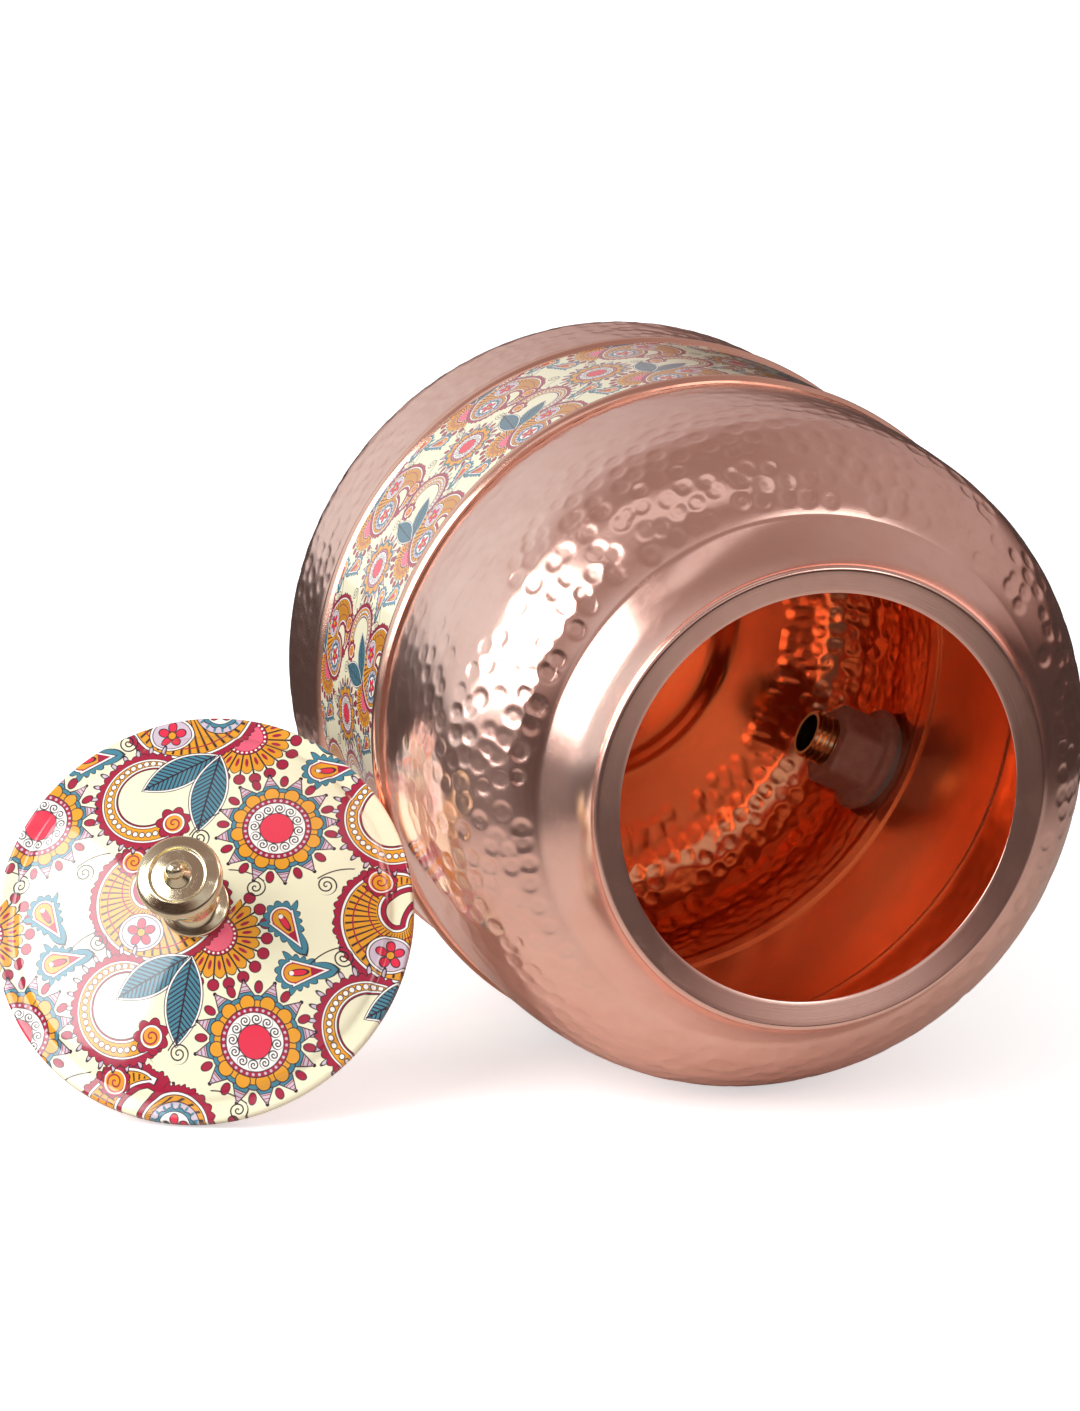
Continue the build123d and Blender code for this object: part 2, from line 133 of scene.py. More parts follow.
DIMPLE_R = 3.4              # hammer marks
DIMPLE_PITCH = 7.2          # from mark to mark in a row
ROW_PITCH = 0.87 * DIMPLE_PITCH
DIMPLE_SHIFT = 1.2          # how far a mark strays from its row
DIMPLE_DRIFT = 0.2          # and along its row, as a share of the pitch
DIMPLE_MISSED = 0.05        # share of the marks that are left out
DIMPLE_FLOOR = 0.52         # share of a mark's radius that is its flat floor
FAINT = 0.07                # depth of the shoulder's marks near the bead
DEEP = 0.33                 # and near the crease
WALL_DEPTH = 0.16           # depth of the lower wall's marks
BARE_AT_BEAD = 2.5          # bare strips beside the marks
BARE_AT_CREASE = 5.5
BARE_AT_PAN = 4.0
BARE_AT_JOGGLE = 2.0
# Broad unevenness: waves round the jug, wavelength along it and height.
BROAD_WAVES = ((5, 61, 0.05), (11, 43, 0.05), (23, 29, 0.035), (37, 17, 0.02))
FINE = 0.8                  # mesh spacing where the marks are
COARSE = 1.6


# ------------------------------------------------------------------ profiles (radius, height)
def arc(start, centre, end, turn, step):
    """Points from start towards end round centre, without end. turn is 1 for anticlockwise."""
    a0 = math.atan2(start[1] - centre[1], start[0] - centre[0])
    a1 = math.atan2(end[1] - centre[1], end[0] - centre[0])
    sweep = turn * ((turn * (a1 - a0)) % (2 * math.pi))
    radius = math.dist(start, centre)
    count = max(3, math.ceil(abs(sweep) * radius / step))
    angles = [a0 + sweep * i / count for i in range(count)]
    return [(centre[0] + radius * math.cos(a), centre[1] + radius * math.sin(a)) for a in angles]


def arc_through(a, b, c, step):
    """Points on the arc from a through b towards c, and the direction at c."""
    d = 2 * (a[0] * (b[1] - c[1]) + b[0] * (c[1] - a[1]) + c[0] * (a[1] - b[1]))
    aa, bb, cc = (p[0] ** 2 + p[1] ** 2 for p in (a, b, c))
    centre = (
        (aa * (b[1] - c[1]) + bb * (c[1] - a[1]) + cc * (a[1] - b[1])) / d,
        (aa * (c[0] - b[0]) + bb * (a[0] - c[0]) + cc * (b[0] - a[0])) / d,
    )
    turn = 1 if d > 0 else -1
    return arc(a, centre, c, turn, step), end_direction(centre, c, turn)


def arc_tangent(start, direction, end, step):
    """Points on the arc that leaves start along direction and reaches end, and the direction there."""
    normal = (-direction[1], direction[0])
    dx, dy = end[0] - start[0], end[1] - start[1]
    radius = (dx * dx + dy * dy) / (2 * (dx * normal[0] + dy * normal[1]))
    centre = (start[0] + normal[0] * radius, start[1] + normal[1] * radius)
    turn = 1 if radius > 0 else -1
    return arc(start, centre, end, turn, step), end_direction(centre, end, turn)


def end_direction(centre, point, turn):
    """Unit direction of travel at a point of an arc."""
    radius = math.dist(centre, point)
    return (-turn * (point[1] - centre[1]) / radius, turn * (point[0] - centre[0]) / radius)


def line(start, end, step):
    """Points from start towards end, without end."""
    count = max(1, math.ceil(math.dist(start, end) / step))
    return [
        (start[0] + (end[0] - start[0]) * i / count, start[1] + (end[1] - start[1]) * i / count)
        for i in range(count)
    ]


def polyline(points, step):
    """Straight runs between points, divided, with the last point."""
    out = []
    for a, b in zip(points, points[1:]):
        out += line(a, b, step)
    return out + [points[-1]]


def rounded(points, radius, step, count=6, share=0.45):
    """A polyline whose inner corners are rounded by curves of about the given radius.

    A curve has `count` steps and takes up at most `share` of the sides that meet there.
    """
    out = [points[0]]
    for before, corner, after in zip(points, points[1:], points[2:]):
        back = Vector(before) - Vector(corner)
        on = Vector(after) - Vector(corner)
        reach = min(radius, back.length * share, on.length * share)
        start = Vector(corner) + back.normalized() * reach
        end = Vector(corner) + on.normalized() * reach
        out += line(out[-1], tuple(start), step)[1:]
        for i in range(count + 1):
            t = i / count
            mid = start * (1 - t) ** 2 + Vector(corner) * 2 * t * (1 - t) + end * t * t
            out.append((mid.x, mid.y))
    out += line(out[-1], points[-1], step)[1:]
    return out + [points[-1]]


def side_offset(points, distance):
    """The points moved sideways by distance, to the left of the direction of travel."""
    p = np.array(points, float)
    ahead = np.gradient(p, axis=0)
    ahead /= np.linalg.norm(ahead, axis=1)[:, None]
    return p + distance * np.stack([-ahead[:, 1], ahead[:, 0]], axis=1)


# ------------------------------------------------------------------ meshes
def make_mesh(name, verts, quads):
    """A smooth-shaded mesh object from arrays, in metres."""
    mesh = bpy.data.meshes.new(name)
    mesh.vertices.add(len(verts))
    mesh.vertices.foreach_set("co", np.asarray(verts, np.float32).ravel())
    mesh.loops.add(4 * len(quads))
    mesh.loops.foreach_set("vertex_index", np.asarray(quads, np.int32).ravel())
    mesh.polygons.add(len(quads))
    mesh.polygons.foreach_set("loop_start", np.arange(0, 4 * len(quads), 4, dtype=np.int32))
    mesh.update(calc_edges=True)
    mesh.validate()
    mesh.shade_smooth()
    piece = bpy.data.objects.new(name, mesh)
    bpy.context.scene.collection.objects.link(piece)
    return piece


def ring_mesh(name, radius, height, count):
    """A closed outline turned about the Y axis, mouth at -Y. radius and height are (rows, count) in mm.

    The outline may run either way round: the faces are made to look outwards.
    """
    theta = np.arange(count) * 2 * math.pi / count
    r, h = radius.mean(axis=1), height.mean(axis=1)
    if np.sum(r * np.roll(h, -1) - np.roll(r, -1) * h) < 0:
        radius, height = radius[::-1], height[::-1]
    radius = np.broadcast_to(radius, (len(radius), count))
    height = np.broadcast_to(height, (len(height), count))
    verts = np.stack([radius * np.cos(theta), -height, radius * np.sin(theta)], axis=2) * MM
    rows = len(radius)
    i = np.arange(rows)[:, None]
    j = np.arange(count)[None, :]
    here, there = i * count, ((i + 1) % rows) * count
    after = (j + 1) % count
    quads = np.stack([here + j, here + after, there + after, there + j], axis=2).reshape(-1, 4)
    return make_mesh(name, verts.reshape(-1, 3), quads)


def revolve(name, profile, count, wobble=0.0):
    """A closed profile in mm turned about the Y axis, with a little unevenness away from the axis."""
    p = np.array(profile, float)
    theta = np.arange(count) * 2 * math.pi / count
    uneven = wobble * (np.sin(3 * theta + 1) + np.sin(7 * theta + 2.5) + 0.6 * np.sin(13 * theta))
    radius = p[:, :1] + uneven[None, :] * np.minimum(1, p[:, :1] / 20)
    return ring_mesh(name, radius, p[:, 1:], count)


def joint(name):
    """The frame's joint of that name."""
    return next(item for item in frame["joints"] if item["name"] == name)


# The tap's axis out of the wall, in the plane across the jug.
TAP_OUT = Vector((joint("tap_lever")["pos_m"][0], joint("tap_lever")["pos_m"][2])).normalized()
TAP_THETA = math.atan2(TAP_OUT.y, TAP_OUT.x)


def hammer_marks(along, radius, height, count, first, last, depth, scale):
    """Depth in mm of flat-floored hammer marks over a grid of rows by columns.

    Marks lie between the distances `first` and `last` along the profile, in uneven rows.
    depth gives each mark's depth from its distance along, scale its size against DIMPLE_R.
    """
    field = np.zeros((len(along), count))
    theta = np.arange(count) * 2 * math.pi / count
    rows = round((last - first) / (ROW_PITCH * scale))
    for row in range(rows + 1):
        base = first + (last - first) * row / rows
        around = np.interp(base, along, radius)
        number = round(2 * math.pi * around / (DIMPLE_PITCH * scale))
        start = rng.random()
        for k in range(number):
            s = base + rng.normal(0, DIMPLE_SHIFT * scale)
            turn = (k + start + rng.normal(0, DIMPLE_DRIFT)) * 2 * math.pi / number
            size = DIMPLE_R * scale * rng.uniform(0.86, 1.14)
            deep = depth(s) * rng.uniform(0.65, 1.2)
            if rng.random() < DIMPLE_MISSED or not first - 1 < s < last + 1:
                continue
            i = np.nonzero(np.abs(along - s) < size)[0]
            span = int(size / (around * 2 * math.pi / count)) + 1
            centre = round(turn * count / (2 * math.pi))
            j = np.arange(centre - span, centre + span + 1)
            across = (j * 2 * math.pi / count - turn) * around
            away = np.hypot((along[i] - s)[:, None], across[None, :]) / size
            slope = np.clip((1 - away) / (1 - DIMPLE_FLOOR), 0, 1)
            mark = deep * slope * slope * (3 - 2 * slope)
            cells = np.ix_(i, j % count)
            field[cells] = np.maximum(field[cells], mark)
    broad = np.zeros_like(field)
    for waves, wavelength, size in BROAD_WAVES:
        phase = 2 * math.pi * along[:, None] / wavelength + waves
        broad += size * np.sin(waves * theta[None, :] + phase) * np.sin(phase * 0.7 + 2)
    edge = np.clip(np.minimum(along - first, last - along) / 6 + 0.5, 0, 1)
    field = field + broad * edge[:, None]
    offset = (theta - TAP_THETA + math.pi) % (2 * math.pi) - math.pi
    from_tap = np.hypot(offset[None, :] * WALL_R, (height - TAP_H)[:, None])
    return field * np.clip((from_tap - TAP_CLEAR_R) / 3, 0, 1)


def hammered_shell(name, profile, count, zone, depth, inner_step=2, inside=1.0, scale=1.0):
    """A sheet shell from its outer profile, with hammer marks on the outside that show inside as bumps.

    inside is how much the bumps stand out within, compared with the marks outside.
    """
    outer = np.array(profile, float)
    along = np.concatenate([[0], np.cumsum(np.linalg.norm(np.diff(outer, axis=0), axis=1))])
    field = hammer_marks(along, outer[:, 0], outer[:, 1], count, zone[0], zone[1], depth, scale)
    ahead = np.gradient(outer, axis=0)
    ahead /= np.linalg.norm(ahead, axis=1)[:, None]
    inward = np.stack([-ahead[:, 1], ahead[:, 0]], axis=1)
    beaten = [outer[:, [i]] + field * inward[:, [i]] for i in (0, 1)]
    back = slice(None, None, -inner_step)
    inner = outer[back] + SHEET * inward[back]
    bumps = [inner[:, [i]] + inside * field[back] * inward[back][:, [i]] for i in (0, 1)]
    return ring_mesh(name, *(np.vstack(pair) for pair in zip(beaten, bumps)), count)


# ------------------------------------------------------------------ jug pieces
def build_upper_shell():
    """Belly, hammered shoulder, smooth neck and lip."""
    points = polyline([(LAP_HIGH_R, BELT_HIGH - BEAD_W), (LAP_HIGH_R, BELT_HIGH)], COARSE)[:-1]
    part, direction = arc_through((LAP_HIGH_R, BELT_HIGH), BELLY_MID, BELLY_TOP, FINE)
    points += part
    part, direction = arc_tangent(BELLY_TOP, direction, SHOULDER_TOP, FINE)
    points += part
    part, direction = arc_tangent(SHOULDER_TOP, direction, CREASE, FINE)
    points += part
    part, _ = arc_through(CREASE, NECK_MID, NECK_TOP, COARSE)
    points += part
    part, _ = arc_through(NECK_TOP, RIDGE, LIP_TOP, 0.25)
    points += part
    points += line(LIP_TOP, MOUTH, COARSE)
    edge = Vector(MOUTH) - Vector(LIP_TOP)
    edge.normalize()
    side = Vector((-edge.y, edge.x))
    for i in range(5):
        a = math.pi * i / 8
        tip = Vector(MOUTH) + edge * (math.sin(a) - 1) * SHEET / 2 + side * (1 - math.cos(a)) * SHEET / 2
        points.append((tip.x, tip.y))
    lengths = np.cumsum(np.linalg.norm(np.diff(np.array(points), axis=0), axis=1))
    crease = min(range(len(points)), key=lambda i: math.dist(points[i], CREASE))
    last = lengths[crease - 1] - BARE_AT_CREASE
    first = BEAD_W + BARE_AT_BEAD

    def depth(s):
        """Faint marks in the first quarter from the bead, deep ones in the last."""
        t = (s - first) / (last - first)
        return FAINT + (DEEP - FAINT) * max(0, min(1, (t - 0.25) / 0.5))

    return hammered_shell("upper_shell_beaten", points, 800, (first, last), depth)


def build_lower_shell():
    """Foot flange, round heel, hammered wall and the step in to the lap."""
    points = line((FOOT_IN_R, 0), (WALL_R - HEEL_R, 0), COARSE)
    points += arc((WALL_R - HEEL_R, 0), (WALL_R - HEEL_R, HEEL_R), (WALL_R, HEEL_R), 1, 1.0)
    points += line((WALL_R, HEEL_R), (WALL_R, BELT_LOW - JOGGLE_H), 1.0)
    points += rounded(
        [
            (WALL_R, BELT_LOW - JOGGLE_H),
            (LAP_LOW_R, BELT_LOW),
            (LAP_LOW_R, BELT_LOW + BEAD_W),
        ],
        1.5,
        1.0,
    )
    first = PAN_R - FOOT_IN_R + BARE_AT_PAN
    heel = WALL_R - HEEL_R - FOOT_IN_R + HEEL_R * math.pi / 2
    last = heel + BELT_LOW - JOGGLE_H - HEEL_R - BARE_AT_JOGGLE
    return hammered_shell(
        "lower_shell_beaten",
        points,
        800,
        (first, last),
        lambda s: WALL_DEPTH,
        inner_step=1,
        inside=1.8,
        scale=0.8,
    )


def cut_tap_hole(shell):
    """Cuts the tap's round hole through the wall."""
    out = Vector((TAP_OUT.x, 0, TAP_OUT.y))
    bpy.ops.mesh.primitive_cylinder_add(vertices=64, radius=TAP_HOLE_R * MM, depth=12 * MM)
    cutter = bpy.context.object
    centre = out * WALL_R * MM + Vector((0, -TAP_H * MM, 0))
    cutter.matrix_world = Matrix.Translation(centre) @ out.to_track_quat("Z", "Y").to_matrix().to_4x4()
    cut = shell.modifiers.new("hole", "BOOLEAN")
    cut.operation = "DIFFERENCE"
    cut.solver = "EXACT"
    cut.object = cutter
    bpy.context.view_layer.objects.active = shell
    bpy.ops.object.modifier_apply(modifier=cut.name)
    bpy.data.objects.remove(cutter)


def build_belt():
    """Belt with a half-round bead along each edge."""
    low_in_r, high_in_r = BELT_LOW_R - SHEET, BELT_HIGH_R - SHEET
    low_bead = (BELT_LOW_R + BEAD_RISE, BELT_LOW + BEAD_W / 2)
    high_bead = (BELT_HIGH_R + BEAD_RISE, BELT_HIGH - BEAD_W / 2)
    part, _ = arc_through((BELT_LOW_R, BELT_LOW), low_bead, (BELT_LOW_R, BELT_LOW + BEAD_W), 0.4)
    points = part + line((BELT_LOW_R, BELT_LOW + BEAD_W), (BELT_HIGH_R, BELT_HIGH - BEAD_W), 4)
    part, _ = arc_through(
        (BELT_HIGH_R, BELT_HIGH - BEAD_W), high_bead, (BELT_HIGH_R, BELT_HIGH), 0.4
    )
    points += part + polyline(
        [
            (BELT_HIGH_R, BELT_HIGH),
            (high_in_r, BELT_HIGH),
            (high_in_r, BELT_HIGH - BEAD_W),
            (low_in_r, BELT_LOW + BEAD_W),
            (low_in_r, BELT_LOW),
            (BELT_LOW_R, BELT_LOW),
        ],
        8,
    )[:-1]
    return revolve("belt_ring_beaded", points, 480, BELT_WOBBLE)


def build_band_print():
    """The lacquered print, a thin skin on the belt between the beads."""
    low = (BELT_LOW_R, BELT_LOW + BEAD_W + PRINT_INSET)
    high = (BELT_HIGH_R, BELT_HIGH - BEAD_W - PRINT_INSET)
    outer = polyline([(low[0] + PRINT_T, low[1]), (high[0] + PRINT_T, high[1])], 4)
    return revolve("band_print_lacquer", outer + [high, low], 480, BELT_WOBBLE)


def build_base_pan():
    """Base sheet with its raised middle and softly rounded steps."""
    low = SHEET + SEAT_GAP
    outline = [
        (PAN_R, low),
        (PAN_STEP_R, low),
        (PAN_RAISED_R, low + PAN_RISE),
        (0.01, low + PAN_RISE),
    ]
    under = rounded(outline, PAN_BEND, 3)
    over = side_offset(under, -SHEET)
    return revolve("base_pan_pressed", under + [tuple(p) for p in over[::-1]], 240, PAN_WOBBLE)


def build_nut():
    """Moulded nut inside the wall: a hexagon with soft edges on a round flange."""
    count = 240
    theta = np.arange(count) * 2 * math.pi / count
    side = (theta + math.pi / 6) % (math.pi / 3) - math.pi / 6
    hexagon = NUT_FLAT / np.cos(side)
    hexagon = sum(np.roll(hexagon, i) for i in range(-4, 5)) / 9
    low = NUT_FACE - NUT_FLANGE_T - NUT_T
    ledge = NUT_FACE - NUT_FLANGE_T
    circle = np.full(count, NUT_FLANGE_R)
    quarter = [(1 - math.sin(a), 1 - math.cos(a)) for a in np.linspace(0, math.pi / 2, 6)]
    rows = [(np.full(count, NUT_BORE_R), low)]
    rows += [(hexagon - NUT_EDGE * inset, low + NUT_EDGE * up) for inset, up in quarter]
    rows += [(hexagon, ledge - NUT_EDGE / 2), (hexagon + NUT_EDGE / 2, ledge)]
    rows += [(circle - NUT_EDGE * inset, ledge + NUT_EDGE * up) for inset, up in quarter]
    rows += [(circle, NUT_FACE), (np.full(count, NUT_BORE_R), NUT_FACE)]
    height = np.array([[row[1]] for row in rows])
    nut = ring_mesh("retaining_nut_moulded", np.stack([row[0] for row in rows]), height, count)
    stand_up(nut)
    out = Vector((TAP_OUT.x, 0, TAP_OUT.y))
    seat = Matrix.Translation((out * WALL_R - Vector((0, TAP_H, 0))) * MM)
    nut.data.transform(seat @ out.to_track_quat("Z", "Y").to_matrix().to_4x4())
    return nut


# ------------------------------------------------------------------ lid pieces, about the lid's axis
def lid_matrix():
    """Places the lid's own axes (z out through the knob) in the row's frame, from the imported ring."""
    out = Vector(joint("lid_lift")["axis"]).normalized()
    low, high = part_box("locating_ring")
    ring_top = RIM_H - SHEET - SEAT_GAP
    centre = (low + high) / 2 - out * (ring_top - RING_DEPTH) / 2 * MM
    across = Vector((0, 0, 1)).cross(out).normalized()
    turn = Matrix((across, out.cross(across), out)).transposed()
    return Matrix.Translation(centre) @ turn.to_4x4()


LID = lid_matrix()
JUG = Matrix.Rotation(math.radians(90), 4, "X")     # z along the jug, towards its mouth


def stand_up(piece):
    """Turns a piece made about Y (height towards -Y) so that its height runs along Z."""
    piece.data.transform(Matrix.Rotation(math.radians(-90), 4, "X"))


def lid_line(step):
    """Outside of the lid, from the middle of the dome to the rim's lower edge."""
    apex = (0.01, DOME_H)
    part, _ = arc_tangent(apex, (1, 0), DOME_EDGE, step)
    rim = (LID_R - RIM_BEND, RIM_H)
    points = part + rounded([DOME_EDGE, (RIM_IN_R, RIM_H), rim], 1.2, step)
    points += arc(rim, (rim[0], RIM_H - RIM_BEND), (LID_R, RIM_H - RIM_BEND), -1, 0.2)
    return points + polyline([(LID_R, RIM_H - RIM_BEND), (LID_R, 0)], step)


def dent(piece, size, spacing):
    """Shallow unevenness pressed into a lid piece along its axis."""
    co = np.zeros(len(piece.data.vertices) * 3, np.float32)
    piece.data.vertices.foreach_get("co", co)
    co = co.reshape(-1, 3)
    x, y = co[:, 0] / (spacing * MM), co[:, 1] / (spacing * MM)
    waves = np.sin(x * 1.3 + y * 0.7 + 1) * np.sin(y * 1.1 - x * 0.4 + 2) + 0.6 * np.sin(x * 2.3 - y)
    co[:, 2] += (size * MM * waves).astype(np.float32)
    piece.data.vertices.foreach_set("co", co.ravel())
    piece.data.update()


def build_lid():
    """Domed lid: copper shell and its lacquered print."""
    top = lid_line(1.2)
    inside = side_offset(top, -SHEET)
    shell = revolve("lid_shell_domed", top + [tuple(p) for p in inside[::-1]], 360)
    face = side_offset(top, PRINT_T)
    skin = revolve("lid_print_lacquer", [tuple(p) for p in face] + top[::-1], 360)
    for piece in (shell, skin):
        stand_up(piece)
        dent(piece, LID_DENT, LID_DENT_SPACING)
        piece.data.transform(LID)
    return shell, skin


def build_knob():
    """Turned knob: foot, waisted stem, dished disc and ball finial."""
    points = rounded(KNOB_FOOT, 0.5, 1.0)[:-1]
    a, b, c, d = (Vector(p) for p in KNOB_WAIST)
    count = 28
    for i in range(count):
        t = i / count
        p = a * (1 - t) ** 3 + b * 3 * t * (1 - t) ** 2 + c * 3 * t * t * (1 - t) + d * t ** 3
        points.append((p.x, p.y))
    part, _ = arc_through(*KNOB_DISC, 0.3)
    points += part + rounded(KNOB_TOP, 0.45, 0.8)[:-1]
    start = KNOB_TOP[-1]
    points += arc(start, (0, BALL_H), (0.01, BALL_H + BALL_R), 1, 0.25)
    points.append((0.01, BALL_H + BALL_R))
    knob = revolve("knob_turned", [(p[0], p[1] + KNOB_LOW) for p in points], 128)
    stand_up(knob)
    knob.data.transform(LID)
    return knob


# ------------------------------------------------------------------ shader arithmetic
def plug(tree, item, slot):
    """Feeds a slot with a Value, another node's socket, or a plain number or colour."""
    if isinstance(item, Value):
        item = item.socket
    if isinstance(item, bpy.types.NodeSocket):
        tree.links.new(item, slot)
    else:
        slot.default_value = item


class Value:
    """A number in a shader, whose arithmetic adds Math nodes to its tree."""

    def __init__(self, tree, socket):
        self.tree = tree
        self.socket = socket

    def math(self, operation, *others, clamp=False):
        """A Math node with this value first."""
        return math_node(self.tree, operation, self, *others, clamp=clamp)

    def __add__(self, other):
        return self.math("ADD", other)

    __radd__ = __add__

    def __sub__(self, other):
        return self.math("SUBTRACT", other)

    def __rsub__(self, other):
        return math_node(self.tree, "SUBTRACT", other, self)

    def __mul__(self, other):
        return self.math("MULTIPLY", other)

    __rmul__ = __mul__

    def __truediv__(self, other):
        return self.math("DIVIDE", other)

    def __abs__(self):
        return self.math("ABSOLUTE")

    def __neg__(self):
        return self.math("MULTIPLY", -1.0)


def math_node(tree, operation, *items, clamp=False):
    """Adds a Math node. Each item is a Value or a plain number."""
    node = tree.nodes.new("ShaderNodeMath")
    node.operation = operation
    node.use_clamp = clamp
    for slot, item in zip(node.inputs, items):
        plug(tree, item, slot)
    return Value(tree, node.outputs[0])


def least(a, b):
    """The lower of two values."""
    return a.math("MINIMUM", b)


def most(a, b):
    """The higher of two values."""
    return a.math("MAXIMUM", b)


def cosine(a):
    return a.math("COSINE")


def sine(a):
    return a.math("SINE")


def length(x, y):
    """Distance from the origin."""
    return x.math("MULTIPLY_ADD", x, y * y).math("SQRT")


def angle(x, y):
    """Angle of a point about the origin, -pi to pi."""
    return y.math("ARCTAN2", x)


def wrap(a, period):
    """a brought into the range -period/2 to period/2."""
    return a.math("WRAP", period / 2, -period / 2)


def turned(x, y, degrees):
    """The point seen in axes turned by degrees."""
    c, s = math.cos(math.radians(degrees)), math.sin(math.radians(degrees))
    return x * c + y * s, y * c - x * s


def colour(text):
    """Linear colour from hexadecimal digits."""
    rgb = [int(text[i:i + 2], 16) / 255 for i in (0, 2, 4)]
    linear = [c / 12.92 if c <= 0.04045 else ((c + 0.055) / 1.055) ** 2.4 for c in rgb]
    return (*linear, 1.0)


CREAM = colour("EFE9C8")
WHITE = colour("F6F1EA")
CRIMSON = colour("A3173A")
RED = colour("DF2746")
OCHRE = colour("E39A22")
TEAL = colour("3F8093")
LILAC = colour("CDBBC9")
DARK = colour("271B2B")
PINK = colour("E8607A")


def blend_colour(tree, factor, a, b):
    """A colour between a and b."""
    mix = tree.nodes.new("ShaderNodeMix")
    mix.data_type = "RGBA"
    for slot, item in zip((mix.inputs[0], mix.inputs[6], mix.inputs[7]), (factor, a, b)):
        plug(tree, item, slot)
    return mix.outputs[2]


# ------------------------------------------------------------------ printed pattern
class Print:
    """Layers of flat ink, each a colour where a signed distance is negative."""

    def __init__(self, tree, ground, soft):
        self.tree = tree
        self.ink = ground
        self.soft = soft

    def fill(self, distance, ink):
        """Fills the inside of a shape, with a soft edge."""
        mask = distance.math("MULTIPLY_ADD", -1 / self.soft, 0.5, clamp=True)
        self.ink = blend_colour(self.tree, mask, self.ink, ink)

    def outlined(self, distance, ink, rim=0.3, within=None):
        """Fills a shape that has a dark rim round it, both cut to another shape if one is given."""
        if within is None:
            self.fill(distance - rim, DARK)
            self.fill(distance, ink)
        else:
            self.fill(most(distance - rim, within), DARK)
            self.fill(most(distance, within), ink)


def sector(x, y, number, at, shift=0.0):
    """Axes of the nearest of `number` places set round the origin at radius `at`: outwards, sideways."""
    around = angle(x, y) * (number / (2 * math.pi)) + shift
    across = wrap(around, 1.0) * (2 * math.pi / number)
    radius = length(x, y)
    return radius * cosine(across) - at, radius * sine(across)


def petals(x, y, number, at, size, stretch=1.0, shift=0.0):
    """Distance to circles set round the origin, `stretch` times as long outwards as across."""
    outwards, sideways = sector(x, y, number, at, shift)
    return length(outwards / stretch, sideways) - size


def spikes(x, y, number, tip, slope, shift=0.0):
    """Distance to sharp points set round the origin, each reaching out to `tip`."""
    outwards, sideways = sector(x, y, number, tip, shift)
    return (abs(sideways) + outwards * slope) * (1 / math.hypot(1, slope))


def spiral(x, y, pitch, reach, half, turn=1):
    """Distance to a spiral line about the origin that ends at `reach`."""
    radius = length(x, y)
    phase = radius / pitch - angle(x, y) * (turn / (2 * math.pi))
    return most(abs(wrap(phase, 1.0)) * pitch - half, radius - reach)


def scallops(x, y, number, rise):
    """Height of rounded lobes set round the origin."""
    return abs(sine(angle(x, y) * (number / 2))) * rise


def draw_mandala(paint, x, y):
    """Round flower: red eye, ring of curls, beads, ochre petals, striped points and drops."""
    paint.outlined(petals(x, y, 12, 16.3, 1.1, 1.5), CRIMSON, 0.25)
    paint.fill(petals(x, y, 12, 18.4, 0.6, 1.0, 0.5), DARK)
    point = spikes(x, y, 12, 18.2, 0.5, 0.5)
    paint.outlined(point, LILAC, 0.36)
    radius = length(x, y)
    paint.fill(most(abs(wrap(radius, 1.1)) - 0.14, point), CRIMSON)
    paint.outlined(radius - 14.7, TEAL, 0.3, point)
    paint.outlined(petals(x, y, 12, 10.8, 2.8), TEAL)
    paint.outlined(petals(x, y, 12, 10.6, 1.65), OCHRE, 0.25)
    paint.outlined(petals(x, y, 12, 11.7, 2.1, 1.0, 0.5), OCHRE)
    paint.outlined(radius - 10.1, CRIMSON)
    paint.fill(petals(x, y, 32, 9.45, 0.42), LILAC)
    paint.outlined(radius - 8.5, WHITE, 0.25)
    paint.fill(spiral(*sector(x, y, 12, 6.75), 0.95, 1.7, 0.2), DARK)
    paint.outlined(radius - 4.9, RED)


def comma(x, y, bend, head, head_angle, sweep, power=1.0):
    """Distance to a comma: a round head on an arc of radius `bend` and a tail that thins along it.

    Returns the distance, the place along the tail (0 at the head, 1 at the tip) and the head's axes.
    """
    hx = bend * math.cos(math.radians(head_angle))
    hy = bend * math.sin(math.radians(head_angle))
    u, v = turned(x, y, head_angle)
    turn = -angle(u, v) if sweep < 0 else angle(u, v)
    along = turn.math("WRAP", 2 * math.pi, 0.0) / math.radians(abs(sweep))
    width = (1.0 - along).math("MAXIMUM", 0.0).math("POWER", power) * head
    tail = most(abs(length(x, y) - bend) - width, (along - 1.0) * 30)
    near = length(x - hx, y - hy) - head
    return least(tail, near), along, x - hx, y - hy


def draw_floret(paint, x, y):
    """Small red flower with an ochre eye."""
    x, y = turned(x, y, 20)
    paint.outlined(petals(x, y, 5, 2.7, 1.15, 1.3), RED)
    paint.outlined(length(x, y) - 1.1, OCHRE)


